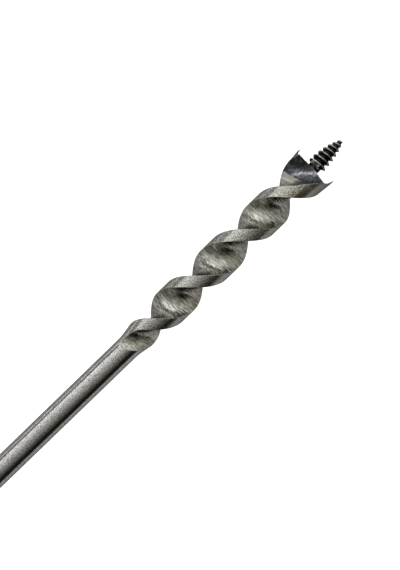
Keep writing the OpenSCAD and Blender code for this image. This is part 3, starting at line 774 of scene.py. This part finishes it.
def make_socket():
    hub = eased([(0, -HUB_HALF), (9.2, -HUB_HALF), (9.9, -HUB_HALF + 0.7), (9.9, -HUB_HALF + 2.6),
                 (HUB_R - 1.1, -HUB_HALF + 4.4), (HUB_R - 0.3, -HUB_HALF + 8), (HUB_R, 0),
                 (HUB_R - 0.3, HUB_HALF - 8), (HUB_R - 1.1, HUB_HALF - 4.4),
                 (9.9, HUB_HALF - 2.6), (9.9, HUB_HALF - 0.7), (9.2, HUB_HALF), (0, HUB_HALF)], d=0.4)
    hv, hf = lathe(hub, 96, closed=False)
    hv = np.stack([HX + hv[:, 0], hv[:, 2], AX - hv[:, 1]], -1)
    nose = eased([(0, 0), (10.2, 0), (10.2, 8.5), (9.3, 10.6), (8.2, 12.6), (7.5, 15.5), (7.1, 19),
                  (6.8, NOSE_L - 5.4), (7, NOSE_L - 5), (7.6, NOSE_L - 4.4), (7.8, NOSE_L - 3.4),
                  (7.8, NOSE_L - 1.6), (7.4, NOSE_L - 0.5), (6.6, NOSE_L), (0, NOSE_L)], d=0.3)
    nv, nf = lathe(nose, 96, closed=False)
    nv = np.stack([HX + nv[:, 2], nv[:, 0], AX + nv[:, 1]], -1)
    arc = [(HX - LUG_OUT + LUG_R * math.cos(t), LUG_R * math.sin(t)) for t in np.linspace(math.pi / 2, 1.5 * math.pi, 40)]
    ring = [(HX - 1, LUG_R)] + arc + [(HX - 1, -LUG_R)]
    n = len(ring)
    lv = np.array([(x_, y_, AX - LUG_T / 2) for x_, y_ in ring] + [(x_, y_, AX + LUG_T / 2) for x_, y_ in ring])
    lf = [list(range(n))[::-1], list(range(n, 2 * n))] + [[i, (i + 1) % n, n + (i + 1) % n, n + i] for i in range(n)]

    def solid(name, v, f):
        me = bpy.data.meshes.new(name)
        me.from_pydata((v * MM).tolist(), [], f)
        me.update()
        ob = bpy.data.objects.new(name, me)
        scene.collection.objects.link(ob)
        outward(ob)
        return ob

    body = solid("w0", hv, hf)
    tools = [solid("w1", nv, nf), solid("w2", lv, lf)]
    for t_ in tools:
        mod = body.modifiers.new("u", "BOOLEAN")
        mod.operation, mod.object, mod.solver = "UNION", t_, "EXACT"
    re = body.modifiers.new("r", "REMESH")
    re.mode, re.voxel_size = "VOXEL", 0.00034
    sm = body.modifiers.new("s", "SMOOTH")
    sm.factor, sm.iterations = 0.5, 9

    def cyl(name, r, z0, z1, frame_, seg=64):
        v, f = lathe([(0, z0), (r, z0), (r, z1), (0, z1)], seg, closed=False)
        return solid(name, frame_(v), f)

    along_x = lambda v: np.stack([v[:, 2], v[:, 0], AX + v[:, 1]], -1)
    neg = lambda v: side_frame(-1, v)
    pos = lambda v: side_frame(1, v)
    up = lambda v: np.stack([HX - LUG_OUT + v[:, 0], v[:, 1], v[:, 2]], -1)
    cuts = [cyl("c0", SHANK_R + 0.05, SHOULDER - 0.05, SHOULDER + NOSE_L, along_x),
            cyl("c1", 4.5, 2.3, 11, neg), cyl("c2", 7.0, 9, 18, neg), cyl("c3", ROD_R + 0.02, 6, 18, pos)]
    hw = TANG_W / 2 + 0.1
    bx = [(x_, y_, z_) for x_ in (SHOULDER - TANG_L - 0.5, SHOULDER + 0.5) for y_ in (-hw, hw) for z_ in (AX - hw, AX + hw)]
    cuts.append(solid("c4", np.array(bx), [[0, 1, 3, 2], [4, 6, 7, 5], [0, 4, 5, 1], [2, 3, 7, 6], [0, 2, 6, 4], [1, 5, 7, 3]]))
    hole = eased([(0, AX - 8), (HANG_R + 2.9, AX - 8), (HANG_R + 0.75, AX - LUG_T / 2), (HANG_R, AX - LUG_T / 2 + 0.75),
                  (HANG_R, AX + LUG_T / 2 - 0.75), (HANG_R + 0.75, AX + LUG_T / 2), (HANG_R + 2.9, AX + 8), (0, AX + 8)], d=0.3)
    v, f = lathe(hole, 64, closed=False)
    cuts.append(solid("c5", up(v), f))
    v, f = lathe([(0, HX + NOSE_L - 0.45), (SHANK_R + 0.05, HX + NOSE_L - 0.45), (SHANK_R + 0.75, HX + NOSE_L + 0.3), (0, HX + NOSE_L + 0.3)], 64, closed=False)
    cuts.append(solid("c6", along_x(v), f))
    for t_ in cuts:
        mod = body.modifiers.new("d", "BOOLEAN")
        mod.operation, mod.object, mod.solver = "DIFFERENCE", t_, "EXACT"
    dg = bpy.context.evaluated_depsgraph_get()
    me = bpy.data.meshes.new_from_object(body.evaluated_get(dg))
    me.name = "centre_socket_detail"
    ob = bpy.data.objects.new("centre_socket_detail", me)
    scene.collection.objects.link(ob)
    for t_ in [body] + tools + cuts:
        bpy.data.objects.remove(t_)
    me.materials.clear()
    me.materials.append(IRON)
    me.polygons.foreach_set("use_smooth", np.ones(len(me.polygons), bool))
    me.set_sharp_from_angle(angle=math.radians(38))
    # wear on what stands proud: how far each point is from the mean of its neighbours, along its normal
    n = len(me.vertices)
    co = np.zeros(n * 3, np.float32)
    me.vertices.foreach_get("co", co)
    co = co.reshape(-1, 3) * 1000
    ed = np.zeros(len(me.edges) * 2, np.int32)
    me.edges.foreach_get("vertices", ed)
    ed = ed.reshape(-1, 2)
    no = np.zeros(n * 3, np.float32)
    me.vertices.foreach_get("normal", no)
    no = no.reshape(-1, 3)
    cur = co.astype(float).copy()
    deg = np.bincount(ed.ravel(), minlength=n).astype(float)
    for _ in range(14):
        acc = np.zeros_like(cur)
        for k in range(3):
            acc[:, k] = np.bincount(ed[:, 0], cur[ed[:, 1], k], n) + np.bincount(ed[:, 1], cur[ed[:, 0], k], n)
        cur = acc / np.maximum(deg, 1)[:, None]
    proud = ((co - cur) * no).sum(1)
    wear = np.clip(0.25 + proud * 2.2, 0, 1)
    a = me.attributes.new("wear", "FLOAT", "POINT")
    a.data.foreach_set("value", wear.astype(np.float32))
    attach(ob, "socket")
    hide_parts("centre_socket")
    return ob


socket = make_socket()


# ------------------------------------------------------------------ threads, nuts, bush
def threaded(z0, z1, r_out, pitch, seg=64, step=0.05, depth=0.5, lead_in=0.6):
    """rings of a right-hand thread about z, growing with +z outwards; returns rings with closed ends left to the caller"""
    ang = np.arange(seg) * 2 * math.pi / seg
    rings = []
    for z in np.arange(z0, z1 + 1e-6, step):
        f = (z / pitch - ang / (2 * math.pi)) % 1.0
        tri = 1 - np.abs(2 * f - 1)                   # 0 at the root, 1 at the crest
        prof = np.clip((tri - 0.12) / 0.76, 0, 1)
        fade = min(1, max(0, (z - z0) / lead_in), max(0, (z1 - z) / lead_in))
        r = r_out - depth * (1 - prof * fade)
        rings.append(np.stack([r * np.cos(ang), r * np.sin(ang), np.full(seg, z)], -1))
    return rings


def ring_at(r, z, seg=64):
    ang = np.arange(seg) * 2 * math.pi / seg
    return np.stack([r * np.cos(ang), r * np.sin(ang), np.full(seg, z)], -1)


def rod(name, rings, s, body, replaces):
    seg = len(rings[0])
    m = len(rings)
    v = np.concatenate(rings + [np.array([[0, 0, rings[0][0][2]], [0, 0, rings[-1][0][2]]])])
    f = [[j * seg + i, j * seg + (i + 1) % seg, (j + 1) * seg + (i + 1) % seg, (j + 1) * seg + i]
         for j in range(m - 1) for i in range(seg)]
    f += [[len(v) - 2, (i + 1) % seg, i] for i in range(seg)]
    f += [[len(v) - 1, (m - 1) * seg + i, (m - 1) * seg + (i + 1) % seg] for i in range(seg)]
    ob = put(name, side_frame(s, v), f, body, replaces, [ROD], sharp=50)
    outward(ob)
    return ob


TR = 3.9
screw_rings = [ring_at(r, z) for r, z in ((1.8, 3.5), (2.0, 3.7), (2.0, 4.8), (1.75, 4.82), (1.75, 5.58), (2.0, 5.6), (2.0, 6.47), (3.3, 6.5))]
screw_rings += threaded(6.55, 24.0, TR, 1.0)
screw_rings += [ring_at(r, z) for r, z in ((TR, 24.2), (ROD_R, 24.3), (ROD_R, 60), (ROD_R, E4 - 1.2), (3.0, E4 - 1.0))]
screw_rings += threaded(E4 - 0.9, E5 + 2.6, 3.0, 0.8, step=0.08, depth=0.35) + [ring_at(2.6, E5 + 2.8)]
clamp_screw = rod("clamp_screw_detail", screw_rings, -1, "clamp_handle", ["clamp_screw"])

stud_rings = [ring_at(3.6, 6.2)] + threaded(6.5, 21.0, ROD_R, 1.0, step=0.06)
stud_rings += [ring_at(r, z) for r, z in ((ROD_R, 21.2), (ROD_R, 60), (ROD_R, E4 - 1.2), (3.0, E4 - 1.0))]
stud_rings += threaded(E4 - 0.9, E5 + 2.6, 3.0, 0.8, step=0.08, depth=0.35) + [ring_at(2.6, E5 + 2.8)]
fixed_stud = rod("fixed_stud_detail", stud_rings, 1, "socket", ["fixed_stud"])

# bush: barrel in the hub, its bore drawn plain, with a hex flange outside
v, f = hexagon(9.0, HUB_HALF, HUB_HALF + 3.0, 4.3, top_r=7.4)
v2, f2 = lathe(eased([(7 - 0.02, HUB_HALF + 0.3), (7 - 0.02, 9.4), (6.6, 9.0), (4.25, 9.0), (3.98, 9.25), (3.98, HUB_HALF + 0.3)], d=0.08), 64, closed=True)
v3, f3 = merged([(v, f), (v2, f2)])
bush = put("clamp_bush_detail", side_frame(-1, v3), f3, "socket", ["clamp_bush"], [FITTINGS], sharp=25)
outward(bush)
v, f = hexagon(8.0, HUB_HALF + 0.02, HUB_HALF + 5.0, ROD_R + 0.02)
jam = put("jam_nut_detail", side_frame(1, v), f, "socket", ["jam_nut"], [FITTINGS], sharp=25)
outward(jam)


# ------------------------------------------------------------------ grips, ferrules, washers, nuts, pins
def belly(t):
    return 10.3 + (GRIP_R - 10.3) * math.sin(math.radians(180 * t ** 0.85)) ** 0.75


def grip(name, s, body, node):
    z0, z1 = E2 + 0.02, E3 - 0.02
    pts = [(ROD_R + 0.05, E1 + 0.5), (NECK_R - 0.6, E1 + 0.5), (NECK_R, E1 + 1.2), (NECK_R, z0)]
    zs = [z0 + 0.001] + list(np.linspace(z0 + 0.35, z1 - 0.35, 110)) + [z1 - 0.001]
    groove = [z0 + 3.2, z0 + 4.6, z1 - 3.4]
    for z in zs:
        t = min(max((z - z0) / (z1 - z0), 0.001), 0.999)
        r = belly(t)
        for g in groove:
            r -= 0.32 * math.exp(-((z - g) / 0.3) ** 2)
        if z - z0 < 0.3 or z1 - z < 0.3:
            r -= 0.25
        pts.append((r, z))
    pts += [(NECK_R, z1), (NECK_R, E4 - 1.2), (NECK_R - 0.6, E4 - 0.5), (ROD_R + 0.05, E4 - 0.5)]
    v, f = lathe(pts, 128, closed=True)
    z = v[:, 2]
    burnt = sum(np.exp(-((z - g) / 0.24) ** 2) for g in groove) + 0.5 * np.exp(-((z - z0) / 0.6) ** 2) + 0.5 * np.exp(-((z - z1) / 0.6) ** 2)
    ob = put(name, side_frame(s, v), f, body, [node], [WOOD], attrs={"burnt": np.clip(burnt, 0, 1)}, sharp=40)
    outward(ob)
    return ob


def handle_side(tag, s, body):
    grip(tag + "_grip_detail", s, body, tag + "_grip")
    inner = [(ROD_R + 0.05, E1), (8.6, E1), (9.3, E1 + 0.25), (9.75, E1 + 0.9), (9.75, E1 + 1.7),
             (9.5, E1 + 2.2), (9.9, E1 + 2.8), (9.9, 27.95), (9.78, 28.1), (9.9, 28.25), (9.9, E2 - 1.8), (10.3, E2 - 1.4), (10.3, E2 - 0.4), (10, E2),
             (NECK_R + 0.02, E2), (NECK_R + 0.02, E1 + 0.48), (ROD_R + 0.05, E1 + 0.48)]
    turned(tag + "_inner_ferrule_detail", inner, s, body, BRASS, [tag + "_inner_ferrule"], 128, d=0.25)
    outer = [(NECK_R + 0.02, E3), (10, E3), (10.3, E3 + 0.4), (10.3, E3 + 1.4), (9.9, E3 + 1.8), (9.9, E3 + 3.6), (9.78, E3 + 3.75), (9.9, E3 + 3.9),
             (9.9, E4 - 1.6), (9.6, E4 - 0.5), (8.9, E4), (ROD_R + 0.05, E4), (ROD_R + 0.05, E4 - 0.48), (NECK_R + 0.02, E4 - 0.48)]
    turned(tag + "_outer_ferrule_detail", outer, s, body, BRASS, [tag + "_outer_ferrule"], 128, d=0.25)
    washer = [(3.2, E4 + 0.02), (7.3, E4 + 0.02), (7.4, E4 + 0.15), (7.4, E4 + 0.8), (7, E5 - 0.02), (3.35, E5 - 0.02), (3.2, E5 - 0.2)]
    turned(tag + "_end_washer_detail", washer, s, body, FITTINGS, [tag + "_end_washer"], 96, d=0.1)
    v, f = hexagon(5.7, E5, E5 + 3.2, 3.02, per=10, top_r=4.85)
    dome = eased([(4.85, E5 + 3.05), (4.8, E5 + 3.2)] + [(4.8 * math.cos(math.radians(j * 7.5)), E5 + 3.2 + 2.8 * math.sin(math.radians(j * 7.5))) for j in range(1, 12)]
                 + [(0, E5 + 6)] , d=0.1, turn=40)
    inside = [(0, E5 + 3.55), (3.0, E5 + 3.55), (3.02, E5 + 2.9), (4.0, E5 + 2.9)]
    v2, f2 = lathe(np.concatenate([dome, np.array(inside)]), 80, closed=False)
    # close the underside of the dome
    k0 = list(range(0, 80))
    last = len(v2) - 80
    f2 += [[k0[i], k0[(i + 1) % 80], last + (i + 1) % 80, last + i] for i in range(80)]
    vv, ff = merged([(v, f), (v2, f2)])
    ob = put(tag + "_end_nut_detail", side_frame(s, vv), ff, body, [tag + "_end_nut"], [FITTINGS], sharp=25)
    outward(ob)
    # cross pin, peened a little at both ends
    pin = [(0, -10.15), (1.0, -10.12), (1.3, -9.98), (PIN_R, -9.75), (PIN_R, 9.75), (1.3, 9.98), (1.0, 10.12), (0, 10.15)]
    v, f = lathe(eased(pin, d=0.15), 48, closed=False)
    v = np.stack([v[:, 2], v[:, 0], PIN_AT + v[:, 1]], -1)
    ob = put(tag + "_grip_pin_detail", side_frame(s, v), f, body, [tag + "_grip_pin"], [ROD], sharp=35)
    outward(ob)


handle_side("clamp", -1, "clamp_handle")
handle_side("fixed", 1, "socket")

# the pad and its clip keep the frame's shape; they are inside the hub
for node, mat in (("clamp_pad", BRASS), ("pad_clip", SPRING)):
    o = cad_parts[node]
    o.data.materials.clear()
    o.data.materials.append(mat)

# ------------------------------------------------------------------ floor and light
me = bpy.data.meshes.new("floor")
me.from_pydata([(-3, -3, 0), (3, -3, 0), (3, 3, 0), (-3, 3, 0)], [], [[0, 1, 2, 3]])
me.materials.append(plain_floor())
floor = bpy.data.objects.new("floor", me)
floor.location.z = -0.00002
scene.collection.objects.link(floor)


def studio():
    """a wide softbox on the +Y side that falls off over the top, and a dark side towards -Y"""
    world = bpy.data.worlds.new("studio")
    world.use_nodes = True
    nt = world.node_tree
    nt.nodes.clear()

    def node(kind, **kw):
        n = nt.nodes.new(kind)
        for k, v in kw.items():
            setattr(n, k, v)
        return n

    def math_(op, a, b=None, clamp=False):
        n = node("ShaderNodeMath", operation=op, use_clamp=clamp)
        for i, x in enumerate((a, b)):
            if x is None:
                continue
            if hasattr(x, "is_output"):
                nt.links.new(x, n.inputs[i])
            else:
                n.inputs[i].default_value = x
        return n.outputs[0]

    def band(v, lo, hi, a, b):
        n = node("ShaderNodeMapRange", interpolation_type="SMOOTHSTEP", clamp=True)
        nt.links.new(v, n.inputs[0])
        for i, x in enumerate((lo, hi, a, b)):
            n.inputs[i + 1].default_value = x
        return n.outputs[0]

    co = node("ShaderNodeTexCoord").outputs["Generated"]
    sep = node("ShaderNodeSeparateXYZ")
    nt.links.new(co, sep.inputs[0])
    x, y, z = sep.outputs
    # angle about the X axis from straight up, positive towards -Y, in degrees
    al = math_("MULTIPLY", math_("ARCTAN2", math_("MULTIPLY", y, -1.0), z), 180 / math.pi)
    fall = math_("POWER", math_("DIVIDE", math_("MAXIMUM", math_("SUBTRACT", 64.0, al), 0.0), 120.0), 1.65)
    ends = math_("SUBTRACT", 1.0, math_("MULTIPLY", math_("MULTIPLY", x, x), 0.6))
    box_ = math_("MULTIPLY", math_("MULTIPLY", fall, 4.0), math_("MULTIPLY", band(al, -72.0, -60.0, 0.0, 1.0), ends))
    low = band(al, -74.0, -66.0, 0.58, 0.0)
    streak = band(al, -91.5, -87.0, 1.6, 0.0)
    rim = band(al, 78.0, 96.0, 0.0, 0.38)
    side = math_("MULTIPLY", math_("MULTIPLY", band(x, -0.1, 0.65, 0.0, 1.2), band(al, -50.0, 10.0, 0.0, 1.0)), band(al, 62.0, 92.0, 1.0, 0.25))
    front = math_("MULTIPLY", band(x, 0.3, 0.8, 0.0, 0.75), band(al, -40.0, 5.0, 1.0, 0.0))
    box_, low, streak, rim, side, front = (math_("MULTIPLY", v, 1 / 2.6) for v in (box_, low, streak, rim, side, front))
    total = math_("ADD", math_("ADD", math_("ADD", box_, low), math_("ADD", streak, rim)), math_("ADD", math_("ADD", side, front), 0.012))
    warm = node("ShaderNodeMix", data_type="RGBA")
    nt.links.new(band(al, -30.0, 40.0, 0.0, 1.0), warm.inputs[0])
    warm.inputs[6].default_value = (1.0, 1.0, 0.995, 1)
    warm.inputs[7].default_value = (1.0, 0.99, 0.9, 1)
    seen = node("ShaderNodeLightPath").outputs["Is Camera Ray"]
    bg = node("ShaderNodeBackground")
    nt.links.new(warm.outputs[2], bg.inputs[0])
    nt.links.new(total, bg.inputs[1])
    plain = node("ShaderNodeBackground")
    plain.inputs[0].default_value = (1.0, 1.0, 1.0, 1)
    plain.inputs[1].default_value = 1.15
    mix = node("ShaderNodeMixShader")
    nt.links.new(seen, mix.inputs[0])
    nt.links.new(bg.outputs[0], mix.inputs[1])
    nt.links.new(plain.outputs[0], mix.inputs[2])
    out = node("ShaderNodeOutputWorld")
    nt.links.new(mix.outputs[0], out.inputs[0])
    scene.world = world


studio()
scene.view_settings.view_transform = "Standard"
scene.view_settings.look = "None"
